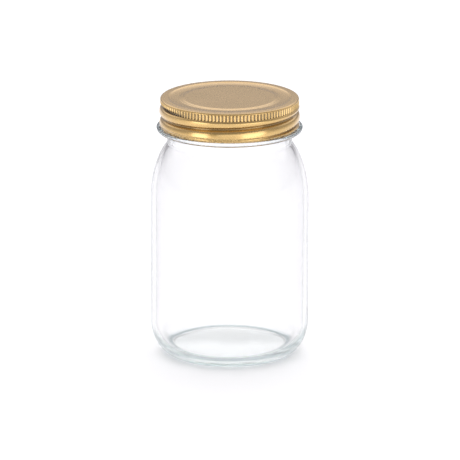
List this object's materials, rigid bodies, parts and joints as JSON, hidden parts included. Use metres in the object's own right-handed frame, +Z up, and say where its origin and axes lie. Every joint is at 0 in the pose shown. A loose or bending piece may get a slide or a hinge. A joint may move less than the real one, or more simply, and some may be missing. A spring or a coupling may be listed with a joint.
{
  "type": "mason jar",
  "caption": "Round pint mason jar with rounded shoulder and heel, transfer ring at the neck, and a knurled gold screw cap with a rolled thread and sealing ring.",
  "frame": {"origin": "centre of the foot's bearing plane", "axes": "+Z up along the jar's axis, -Y is the front, +X is the viewer's right"},
  "size_m": [0.082, 0.082, 0.1368],
  "materials": {
    "glass": "clear polished flint glass",
    "cap_lacquer": "satin gold lacquer on tinplate",
    "seal": "matt moulded plastisol"
  },
  "bodies": {
    "jar": {"glass_jar": "glass"},
    "liner": {"sealing_ring": "seal"},
    "cap": {"screw_cap": "cap_lacquer"}
  },
  "joints": [
    {"name": "cap_lift", "type": "slide", "parent": "jar", "child": "liner", "axis": [0, 0, 1], "range_m": [0, 0.0191]},
    {"name": "cap_turn", "type": "hinge", "parent": "liner", "child": "cap", "pos_m": [0, 0, 0.1293], "axis": [0, 0, 1], "range_deg": [0, 1080]}
  ],
  "couplings": [
    {"joint": "cap_lift", "follows": "cap_turn", "m_per_rad": 0.0010106}
  ]
}
